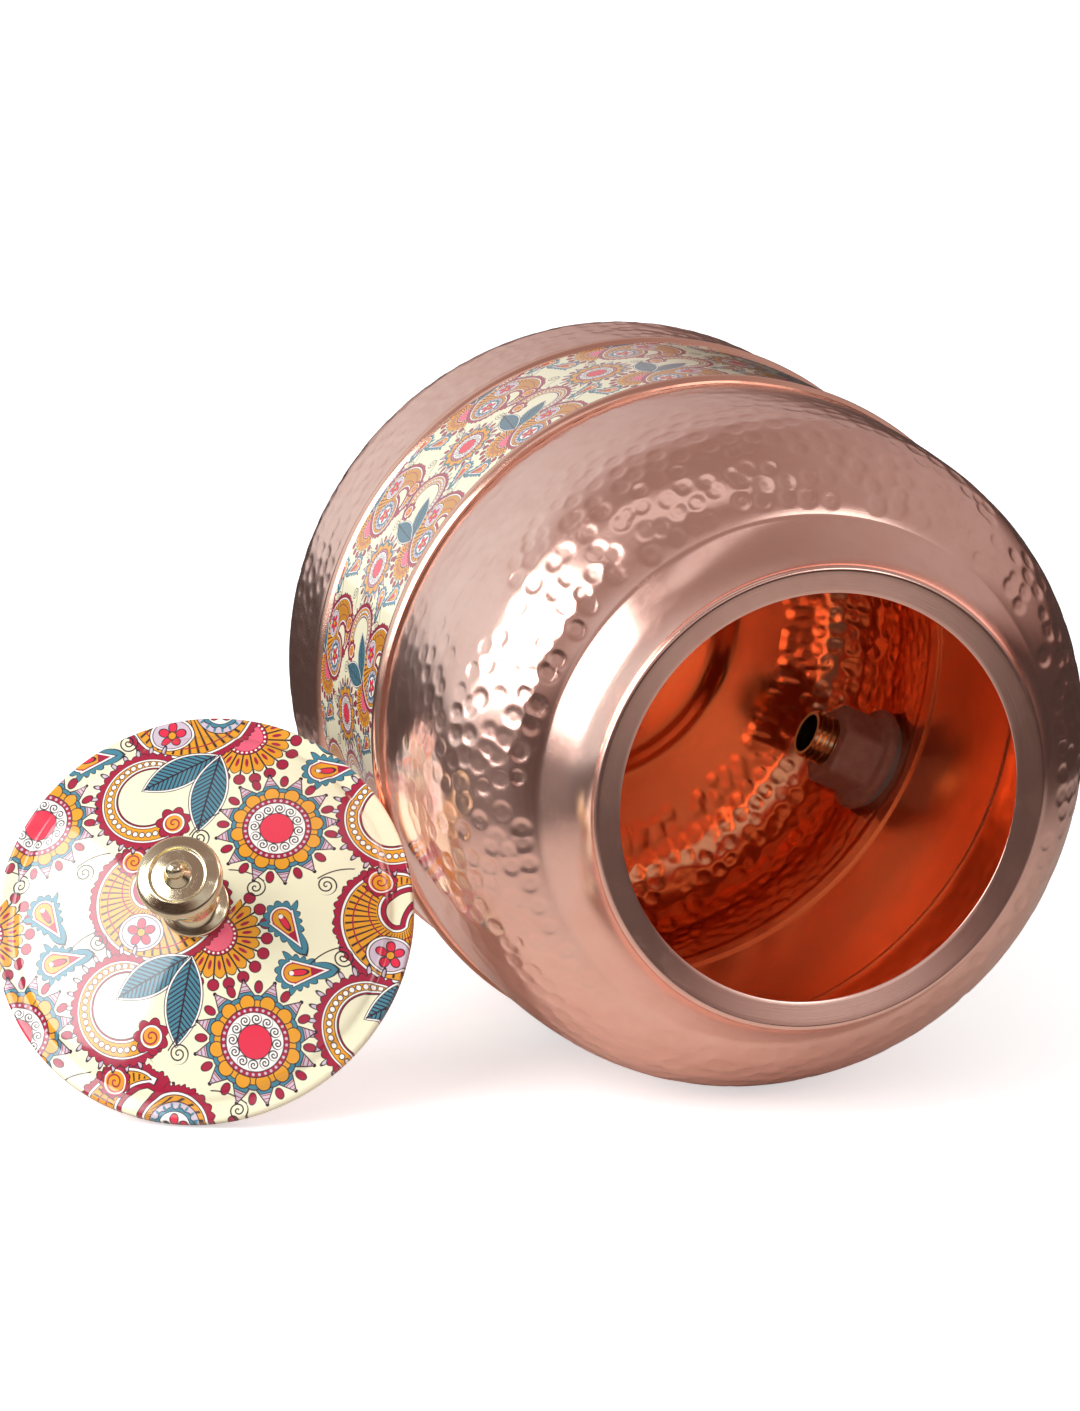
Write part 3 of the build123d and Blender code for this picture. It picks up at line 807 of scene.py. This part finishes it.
def draw_paisley(paint, x, y):
    """Large comma with a scalloped edge, a ribbed body and a small flower in its head."""
    shape, along, hx, hy = comma(x, y, 12.0, 9.6, -12, -275, 0.75)
    outer = (length(x, y) - 12.0).math("MULTIPLY_ADD", 0.5, 0.5, clamp=True)
    edge = shape - least(scallops(x, y, 44, 1.0), scallops(hx, hy, 26, 1.0)) * outer
    paint.outlined(edge - 2.5, CRIMSON)
    paint.outlined(shape - 0.95, WHITE, 0.25)
    paint.outlined(shape, OCHRE)
    ribs = abs(wrap(along * 34, 1.0)) - 0.15
    paint.fill(most(ribs, shape + 0.3), DARK)
    paint.fill(abs(shape + 2.6) - 0.22, CRIMSON)
    head = length(hx, hy)
    paint.outlined(head - 7.9, LILAC)
    paint.fill(petals(hx, hy, 18, 6.8, 0.42, 2.4), TEAL)
    paint.outlined(head - 5.6 - scallops(hx, hy, 12, 0.7), TEAL)
    paint.outlined(head - 4.95, WHITE, 0.25)
    draw_floret(paint, hx, hy)
    eye_x, eye_y = x + 2.5, y + 12.0
    eye = length(eye_x / 1.2, eye_y)
    paint.outlined(eye - 5.7, WHITE)
    paint.outlined(eye - 4.95, LILAC, 0.25)
    draw_floret(paint, eye_x, eye_y)
    tip_x, tip_y = x + 7.5, y - 10.5
    tip = length(tip_x, tip_y)
    paint.outlined(tip - 3.8 - scallops(tip_x, tip_y, 9, 1.1), CRIMSON)
    paint.fill(tip - 3.5, WHITE)
    paint.fill(tip - 3.1, OCHRE)
    paint.fill(spiral(tip_x, tip_y, 1.6, 3.0, 0.24), CRIMSON)


def draw_crescent(paint, x, y):
    """Open ring of beads that thins at one end and curls into a small flower at the other."""
    shape, along, hx, hy = comma(x, y, 12.5, 2.2, -42, -255, 0.4)
    across = length(x, y) - 12.5
    outer = across.math("MULTIPLY_ADD", 0.5, 0.5, clamp=True)
    loops = most(petals(x, y, 26, 17.3, 0.5, 2.6), abs(along - 0.5) * 20 - 8.5)
    paint.outlined(loops, LILAC)
    edge = shape + 0.9 - (scallops(x, y, 36, 1.0) + 0.9) * outer
    paint.outlined(edge - 1.9, CRIMSON)
    paint.outlined(shape - 0.55, WHITE, 0.2)
    paint.outlined(shape + 0.15, OCHRE, 0.25)
    beads = length(wrap(along * 26, 1.0) * 2.1, across)
    paint.outlined(beads - 0.72, WHITE, 0.28, shape + 0.3)
    flower = length(hx, hy)
    paint.outlined(flower - 4.0 - scallops(hx, hy, 7, 1.5), CRIMSON)
    paint.outlined(flower - 3.35, WHITE, 0.25)
    paint.fill(flower - 2.8, OCHRE)
    paint.fill(spiral(hx, hy, 1.7, 2.7, 0.26, -1), CRIMSON)


def draw_leaf(paint, x, y, degrees, reach, half):
    """Pointed leaf from the origin along degrees, with a midrib and slanting veins."""
    u, v = turned(x, y, degrees)
    t = u * (2 / reach) - 1.0
    width = (1.0 - t * t) * half
    shape = most(abs(v) - width, abs(t) * 10 - 10)
    paint.outlined(shape - 0.25, WHITE)
    paint.outlined(shape + 0.5, TEAL, 0.25)
    veins = abs(wrap((u - abs(v) * 0.9) * 0.62, 1.0)) - 0.17
    paint.fill(most(veins, shape + 0.5), DARK)
    paint.fill(most(abs(v) - 0.28, shape), DARK)


def draw_drop(paint, x, y, degrees):
    """Small tear with teal scallops, a crimson ring and an ochre heart."""
    u, v = turned(x, y, degrees)
    cone = most(abs(v) * 0.94 - (9.0 - u) * 0.34, -u)
    shape = least(length(u, v) - 3.0, cone)
    edge = shape - scallops(u - 1.5, v, 14, 1.1)
    paint.outlined(edge - 1.4, TEAL)
    paint.outlined(shape - 0.6, WHITE, 0.25)
    paint.fill(shape - 0.1, CRIMSON)
    paint.fill(most(shape + 0.3, u - 5.2), OCHRE)
    paint.outlined(length((u - 1.6) / 2.8, v) - 0.85, RED)
    paint.fill(length(u + 0.6, v) - 0.7, WHITE)


def draw_sunflower(paint, x, y, degrees):
    """Half flower: a pink eye, ribbed ochre petals and crimson balls on stalks."""
    u, v = turned(x, y, degrees)
    radius = length(u, v)
    half = -u - 2.0
    paint.fill(most(petals(u, v, 20, 13.0, 0.3, 5.0), half), DARK)
    paint.outlined(petals(u, v, 20, 15.2, 1.6), CRIMSON, 0.3, half)
    edge = radius - 11.4 - abs(sine(angle(u, v) * 10)) * 1.6
    paint.outlined(edge, OCHRE, 0.35, half)
    spoke = abs(wrap(angle(u, v) * (20 / (2 * math.pi)), 1.0)) * radius * (2 * math.pi / 20)
    paint.fill(most(most(spoke - 0.25, edge), 6.4 - radius), DARK)
    paint.fill(most(petals(u, v, 20, 9.2, 0.5, 3.0, 0.5), half), CRIMSON)
    paint.outlined(radius - 6.1, CRIMSON, 0.3, half)
    paint.fill(most(petals(u, v, 24, 5.5, 0.36), half), WHITE)
    paint.fill(most(radius - 4.9, half), PINK)


def draw_tendril(paint, x, y, turn, degrees):
    """Thin dark curl with a bowed stem."""
    paint.fill(spiral(x, y, 1.5, 3.2, 0.23, turn), DARK)
    u, v = turned(x, y, degrees)
    stem = most(abs(length(u, v - 14.0 * turn) - 17.2) - 0.2, abs(u - 6.0) - 7.0)
    paint.fill(most(stem, v * turn), DARK)


CELL_W = 75.0               # the print's repeat, mm
CELL_H = 67.0
PRINT_SOFT = 0.16           # soft edge of the ink
# What is drawn in a repeat, first to last: the drawing, its place, and its own turn and sizes.
DRAWINGS = (
    (draw_sunflower, -14, -36, (-35,)),
    (draw_paisley, -35, -24, ()),
    (draw_crescent, -41, 8, ()),
    (draw_leaf, -22, 24, (-148, 25, 5.2)),
    (draw_leaf, -21, 24, (-96, 27, 5.4)),
    (draw_drop, 5, -29, (-52,)),
    (draw_drop, 10, 21.5, (12,)),
    (draw_tendril, -4, -20, (1, 150)),
    (draw_tendril, 17, -17, (-1, 40)),
    (draw_tendril, 24, 28, (1, 200)),
    (draw_tendril, -23, -5, (-1, 60)),
    (draw_mandala, 0, 0, ()),
)


def print_group():
    """A node group that gives the print's colour at a point, in millimetres on the print."""
    tree = bpy.data.node_groups.new("repeating_print", "ShaderNodeTree")
    for name in ("x", "y"):
        tree.interface.new_socket(name, in_out="INPUT", socket_type="NodeSocketFloat")
    tree.interface.new_socket("colour", in_out="OUTPUT", socket_type="NodeSocketColor")
    start = tree.nodes.new("NodeGroupInput")
    x, y = (Value(tree, start.outputs[name]) for name in ("x", "y"))
    paint = Print(tree, CREAM, PRINT_SOFT)
    for draw, cx, cy, extra in DRAWINGS:
        draw(paint, wrap(x - cx, CELL_W), wrap(y - cy, CELL_H), *extra)
    end = tree.nodes.new("NodeGroupOutput")
    tree.links.new(paint.ink, end.inputs[0])
    return tree


# ------------------------------------------------------------------ materials
def new_material(name):
    """An empty node material with its Principled shader."""
    material = bpy.data.materials.new(name)
    material.use_nodes = True
    tree = material.node_tree
    shader = tree.nodes["Principled BSDF"]
    return material, tree, shader


def components(tree, kind):
    """A texture coordinate's three parts, as Values. The kind "Object" is in metres."""
    place = tree.nodes.new("ShaderNodeTexCoord")
    split = tree.nodes.new("ShaderNodeSeparateXYZ")
    tree.links.new(place.outputs[kind], split.inputs[0])
    return [Value(tree, socket) for socket in split.outputs]


def coordinates(tree, placement=Matrix.Identity(4)):
    """A point's coordinates in mm, as three Values, in the axes of placement."""
    point = components(tree, "Object")
    local = []
    for row in placement.inverted()[:3]:
        total = point[0] * (row[0] / MM) + row[3] / MM
        total = point[1].math("MULTIPLY_ADD", row[1] / MM, total)
        local.append(point[2].math("MULTIPLY_ADD", row[2] / MM, total))
    return local


def noise(tree, point, scale, detail=3.0, roughness=0.5):
    """A noise texture's value at a point socket."""
    node = tree.nodes.new("ShaderNodeTexNoise")
    node.inputs["Scale"].default_value = scale
    node.inputs["Detail"].default_value = detail
    node.inputs["Roughness"].default_value = roughness
    tree.links.new(point, node.inputs["Vector"])
    return Value(tree, node.outputs[0])


def vector(tree, x, y, z):
    """A vector socket from three Values or numbers."""
    node = tree.nodes.new("ShaderNodeCombineXYZ")
    for slot, item in zip(node.inputs, (x, y, z)):
        plug(tree, item, slot)
    return node.outputs[0]


def ramp(tree, value, low_in, high_in, low_out=0.0, high_out=1.0):
    """A value mapped from one range to another and kept inside it."""
    node = tree.nodes.new("ShaderNodeMapRange")
    for slot, item in zip(node.inputs, (value, low_in, high_in, low_out, high_out)):
        plug(tree, item, slot)
    return Value(tree, node.outputs[0])


def bump(tree, shader, height, distance):
    """Gives the shader a bump from a height Value; distance in metres."""
    node = tree.nodes.new("ShaderNodeBump")
    node.inputs["Strength"].default_value = 1.0
    node.inputs["Distance"].default_value = distance
    tree.links.new(height.socket, node.inputs["Height"])
    tree.links.new(node.outputs[0], shader.inputs["Normal"])


def metal(name, base, deep, rough, placement=JUG, brush=1.0, grain=0.000012, tarnish=0.5):
    """Satin metal turned about placement's Z axis: fine brushing, colour drift, specks, scratches."""
    material, tree, shader = new_material(name)
    x, y, z = coordinates(tree, placement)
    here = vector(tree, x, y, z)
    radius = length(x, y)
    turned_lines = vector(tree, angle(x, y) * 3.0, z * 3.5, radius * 3.5)
    lines = noise(tree, turned_lines, 1.0, 3.0, 0.65)
    cloud = noise(tree, here, 0.07, 4.0, 0.62)
    speck = ramp(tree, noise(tree, here, 1.9, 1.0, 0.4), 0.71, 0.76)
    slanted = vector(tree, x * 0.9 + z * 0.5, z * 0.05, y * 0.9 - z * 0.4)
    streaks = noise(tree, slanted, 1.3, 1.0, 0.5)
    scratch = ramp(tree, abs(streaks - 0.5), 0.0, 0.006, 1.0, 0.0) * ramp(tree, cloud, 0.5, 0.6)
    skin = blend_colour(tree, ramp(tree, cloud, 0.36, 0.64, 0.0, tarnish), base, deep)
    light = (min(1.0, base[0] * 1.1), min(1.0, base[1] * 1.25), min(1.0, base[2] * 1.3), 1.0)
    skin = blend_colour(tree, speck * 0.5, skin, light)
    tree.links.new(skin, shader.inputs["Base Color"])
    shader.inputs["Metallic"].default_value = 1.0
    gloss = ramp(tree, lines * 0.5 + cloud * 0.5, 0.3, 0.7, rough * 0.82, rough * 1.22)
    plug(tree, gloss, shader.inputs["Roughness"])
    shader.inputs["Anisotropic"].default_value = 0.5 * brush
    from_origin = [part - at for part, at in zip(components(tree, "Object"), placement.translation)]
    across = vector(tree, *cross(placement.col[2], from_origin))
    tree.links.new(across, shader.inputs["Tangent"])
    bump(tree, shader, lines * brush + scratch * 0.8, grain)
    return material


def cross(axis, point):
    """Cross product of a fixed axis and a point of Values."""
    x, y, z = point
    return z * axis[1] - y * axis[2], x * axis[2] - z * axis[0], y * axis[0] - x * axis[1]


def print_material(name, placement, place):
    """Glossy lacquer over the repeating print. place turns coordinates into a point on the print."""
    material, tree, shader = new_material(name)
    x, y, z = coordinates(tree, placement)
    ink = tree.nodes.new("ShaderNodeGroup")
    ink.node_tree = PRINT
    for slot, item in zip(ink.inputs, place(x, y, z)):
        plug(tree, item, slot)
    tree.links.new(ink.outputs[0], shader.inputs["Base Color"])
    cloud = noise(tree, vector(tree, x, y, z), 0.5, 4.0, 0.6)
    gloss = ramp(tree, cloud, 0.35, 0.65, 0.14, 0.2)
    plug(tree, gloss, shader.inputs["Roughness"])
    shader.inputs["Coat Weight"].default_value = 1.0
    shader.inputs["Coat Roughness"].default_value = 0.05
    shader.inputs["Specular IOR Level"].default_value = 0.5
    peel = noise(tree, vector(tree, x, y, z), 0.12, 3.0, 0.45)
    bump(tree, shader, peel, 0.00012)
    return material


BAND_REPEATS = 14           # whole repeats of the print round the belt
BAND_SCALE = math.pi * (BELT_LOW_R + BELT_HIGH_R) / (BAND_REPEATS * CELL_W)
FLOWER_ON_LID = (21.5, 27.0)    # a round flower's middle, from the lid's axis


def on_band(x, y, z):
    """A point on the belt's print: distance round the belt, and height from its middle."""
    middle = (BELT_LOW + BELT_HIGH) / 2
    return angle(x, y) * (BAND_REPEATS * CELL_W / (2 * math.pi)), (z - middle) / BAND_SCALE


def on_lid(x, y, z):
    """A point on the lid's print, seen along the lid's axis."""
    return x - FLOWER_ON_LID[0], y - FLOWER_ON_LID[1]


def plastic(name, base, edge, rough, frost):
    """Frosted moulded plastic or silicone with a fine matt skin."""
    material, tree, shader = new_material(name)
    x, y, z = coordinates(tree)
    cloud = noise(tree, vector(tree, x, y, z), 0.25, 4.0, 0.6)
    skin = blend_colour(tree, ramp(tree, cloud, 0.35, 0.65), base, edge)
    tree.links.new(skin, shader.inputs["Base Color"])
    shader.inputs["Roughness"].default_value = rough
    shader.inputs["Transmission Weight"].default_value = frost
    shader.inputs["Subsurface Weight"].default_value = 0.25
    shader.inputs["Subsurface Radius"].default_value = (0.004, 0.003, 0.002)
    grain = noise(tree, vector(tree, x, y, z), 2.5, 3.0, 0.6)
    bump(tree, shader, grain, 0.00003)
    return material


PRINT = print_group()
copper_outside = metal("beaten_copper", (0.95, 0.66, 0.57, 1), (0.88, 0.56, 0.47, 1), 0.19)
copper_plain = metal("smooth_copper", (0.95, 0.61, 0.49, 1), (0.88, 0.52, 0.40, 1), 0.18)
# Copper for the inside faces: its own copper colour pushed redder and darker as painted reflection of
# light bounced between the copper walls.
copper_inside_painted_bounce = metal(
    "copper_painted_interreflection",
    (0.90, 0.40, 0.21, 1),
    (0.85, 0.33, 0.16, 1),
    0.2,
    brush=0.3,
    grain=0.00001,
    tarnish=0.35,
)
tap_brass = metal("tap_brass", (0.86, 0.74, 0.46, 1), (0.74, 0.60, 0.34, 1), 0.20, brush=0.3)
knob_brass = metal(
    "turned_brass", (0.77, 0.72, 0.52, 1), (0.67, 0.62, 0.43, 1), 0.11, placement=LID, grain=0.00002
)
screw_steel = metal("screw_steel", (0.62, 0.62, 0.61, 1), (0.50, 0.50, 0.50, 1), 0.25, brush=0.2)
# The nut's pale frosted colour carries a warm orange tint, which is painted bounce light from the copper
# round it.
nut_plastic_painted_bounce = plastic("frosted_nut_painted_bounce", colour("EBC3B0"), colour("DDAF9A"), 0.36, 0.0)
silicone = plastic("silicone", colour("D8D4CC"), colour("C8C3BA"), 0.45, 0.2)
seal_rubber = plastic("seal_rubber", colour("1A1A1A"), colour("242424"), 0.6, 0.0)
lid_ink = print_material("lid_lacquer", LID, on_lid)
band_ink = print_material("band_lacquer", JUG, on_band)


def wear(piece, material, body, node):
    """Dresses a piece that stands for a CAD node and rides on its body."""
    piece.data.materials.clear()
    piece.data.materials.append(material)
    piece.data.set_sharp_from_angle(angle=math.radians(40))
    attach(piece, body)
    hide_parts(node)


def inside_faces(piece, material):
    """Gives the faces that look towards the jug's middle a material of their own."""
    piece.data.materials.append(material)
    count = len(piece.data.polygons)
    centre = np.zeros(count * 3, np.float32)
    normal = np.zeros(count * 3, np.float32)
    piece.data.polygons.foreach_get("center", centre)
    piece.data.polygons.foreach_get("normal", normal)
    centre, normal = centre.reshape(-1, 3), normal.reshape(-1, 3)
    hub = np.array([0, -MIDDLE_H * MM, 0])
    toward = ((centre - hub) * normal).sum(axis=1) < 0
    piece.data.polygons.foreach_set("material_index", toward.astype(np.int32))


def dress_cad(names, material):
    """Gives CAD pieces a material."""
    for name in names:
        mesh = frame["nodes"][name].data
        mesh.materials.clear()
        mesh.materials.append(material)


upper = build_upper_shell()
lower = build_lower_shell()
cut_tap_hole(lower)
belt = build_belt()
band = build_band_print()
pan = build_base_pan()
lid_shell, lid_skin = build_lid()
knob = build_knob()
nut = build_nut()

wear(upper, copper_outside, "vessel", "upper_shell")
wear(lower, copper_outside, "vessel", "lower_shell")
wear(belt, copper_plain, "vessel", "belt_ring")
wear(band, band_ink, "vessel", "band_print")
wear(pan, copper_plain, "vessel", "base_pan")
wear(nut, nut_plastic_painted_bounce, "vessel", "retaining_nut")
wear(lid_shell, copper_plain, "lid", "lid_shell")
wear(lid_skin, lid_ink, "lid", "lid_print")
wear(knob, knob_brass, "lid", "knob")
for sheet in (upper, lower, belt, pan):
    inside_faces(sheet, copper_inside_painted_bounce)

dress_cad(("tap_body", "gland_nut", "valve_plug", "tap_lever"), tap_brass)
dress_cad(("knob_washer",), knob_brass)
dress_cad(("knob_screw", "lever_screw"), screw_steel)
dress_cad(("outer_washer", "inner_washer"), silicone)
dress_cad(("stem_seal",), seal_rubber)
dress_cad(("locating_ring",), copper_plain)


# ------------------------------------------------------------------ stage, light and camera
TABLE_R = 305.0             # the table seen in reflections: radius and soft edge (mm)
TABLE_FADE = 70.0
TABLE_NEAR_PAINTED_LIGHT = (0.72, 0.59, 0.53, 1)      # its colour beside the jug, made brighter there as painted light against the jug's shadow, further off, and past its edge
TABLE_FAR = (0.47, 0.385, 0.355, 1)
TABLE_PAST = (0.04, 0.018, 0.013, 1)
FLOOR_SIZE = 30.0           # m
FLOOR_PALE = (0.93, 0.93, 0.94, 1)
FLOOR_LIFT = 0.55           # glow that only the camera sees
SKY_MATT = 0.63             # brightness of the surroundings on matt surfaces
SKY_SEEN = 0.42             # and what is added for the camera
SKY_DIM = (1, 0.5, 0.4, 1)  # tint of their dim parts in reflections
SKY_BRIGHT = (1, 1, 1, 1)
DEEP_GAIN = 6.0             # extra brightness for light that has met the metal several times
# Soft boxes: place and size in metres, power in watts.
LIGHTS = {
    "left_box": ((-1.4, -0.36, 0.76), (1.35, 1.05), 22),
    "top_box": ((-0.3, -0.5, 1.6), (1.3, 0.5), 0.9),
    "front_box": ((0.9, -1.9, 0.9), (0.7, 0.7), 3),
}
CAMERA_PLACE = (-0.795, -2.376, 0.625)
CAMERA_FORWARD = (0.3024, 0.9193, -0.2519)
CAMERA_SENSOR = 36.0        # mm
CAMERA_LENS = 266.7


def build_floor():
    """Large pale floor just under the object. In the metal's reflections it ends like a table."""
    lowest = cad_box[0][2]
    bpy.ops.mesh.primitive_grid_add(
        x_subdivisions=8, y_subdivisions=8, size=FLOOR_SIZE, location=(0, 0, lowest)
    )
    floor = bpy.context.object
    floor.name = "floor"
    material, tree, shader = new_material("pale_floor")
    x, y, _ = coordinates(tree)
    rays = tree.nodes.new("ShaderNodeLightPath")
    glossy = Value(tree, rays.outputs["Is Glossy Ray"])
    away = length(x, y + MIDDLE_H)
    # Beside the jug the table in reflections is painted brighter, as painted light against the jug's
    # shadow there.
    table = blend_colour(tree, ramp(tree, away, 100.0, 300.0), TABLE_NEAR_PAINTED_LIGHT, TABLE_FAR)
    edge = ramp(tree, away, TABLE_R, TABLE_R + TABLE_FADE)
    table = blend_colour(tree, edge, table, TABLE_PAST)
    tint = blend_colour(tree, glossy, FLOOR_PALE, table)
    tree.links.new(tint, shader.inputs["Base Color"])
    shader.inputs["Roughness"].default_value = 0.8
    shader.inputs["Emission Color"].default_value = (1, 1, 1, 1)
    lift = Value(tree, rays.outputs["Is Camera Ray"]) * FLOOR_LIFT
    plug(tree, lift, shader.inputs["Emission Strength"])
    floor.data.materials.append(material)


def build_world():
    """Surroundings: white to the camera and to matt surfaces, a dim studio in the metal's reflections."""
    world = bpy.data.worlds.new("studio")
    bpy.context.scene.world = world
    world.use_nodes = True
    tree = world.node_tree
    background = tree.nodes["Background"]
    x, y, z = components(tree, "Generated")
    back_left = ramp(tree, (y - x) * 0.7, 0.2, 0.9) * ramp(tree, z, 0.5, 0.95, 1.0, 0.0)
    front = ramp(tree, y, -0.95, -0.6, 1.0, 0.0) * ramp(tree, z, 0.3, 0.7, 1.0, 0.0)
    above = most(ramp(tree, z, 0.04, 0.22, 0.1, 1.0), back_left)
    right = ramp(tree, x, 0.2, 0.8, 0.0, 0.14)
    level = (right + back_left * 0.48 + front * 0.34 + 0.34) * above
    rays = tree.nodes.new("ShaderNodeLightPath")
    glossy = Value(tree, rays.outputs["Is Glossy Ray"])
    deep = ramp(tree, Value(tree, rays.outputs["Glossy Depth"]), 2.0, 4.0, 1.0, DEEP_GAIN)
    matt = SKY_MATT + Value(tree, rays.outputs["Is Camera Ray"]) * SKY_SEEN
    strength = matt + (level * deep - matt) * glossy
    plug(tree, strength, background.inputs["Strength"])
    mirrored = blend_colour(tree, ramp(tree, level, 0.08, 0.8), SKY_DIM, SKY_BRIGHT)
    tint = blend_colour(tree, glossy, SKY_BRIGHT, mirrored)
    tree.links.new(tint, background.inputs["Color"])


def area_light(name, place, size, power):
    """Soft box at place, facing the jug's middle."""
    target = Vector((0, -MIDDLE_H * MM, 0))
    data = bpy.data.lights.new(name, "AREA")
    data.shape = "RECTANGLE"
    data.size, data.size_y = size
    data.energy = power
    light = bpy.data.objects.new(name, data)
    light.location = place
    light.rotation_mode = "QUATERNION"
    light.rotation_quaternion = (target - Vector(place)).to_track_quat("-Z", "Y")
    bpy.context.scene.collection.objects.link(light)


def build_camera():
    """Long lens that looks down into the mouth, with the lid at the left."""
    data = bpy.data.cameras.new("camera")
    data.sensor_width = CAMERA_SENSOR
    data.sensor_fit = "HORIZONTAL"
    data.lens = CAMERA_LENS
    data.clip_start = 0.1
    data.clip_end = 60
    camera = bpy.data.objects.new("camera", data)
    camera.location = CAMERA_PLACE
    camera.rotation_mode = "QUATERNION"
    camera.rotation_quaternion = Vector(CAMERA_FORWARD).to_track_quat("-Z", "Y")
    bpy.context.scene.collection.objects.link(camera)
    bpy.context.scene.camera = camera


build_floor()
build_world()
for name, (place, size, power) in LIGHTS.items():
    area_light(name, place, size, power)
build_camera()
bpy.context.scene.view_settings.view_transform = "Standard"
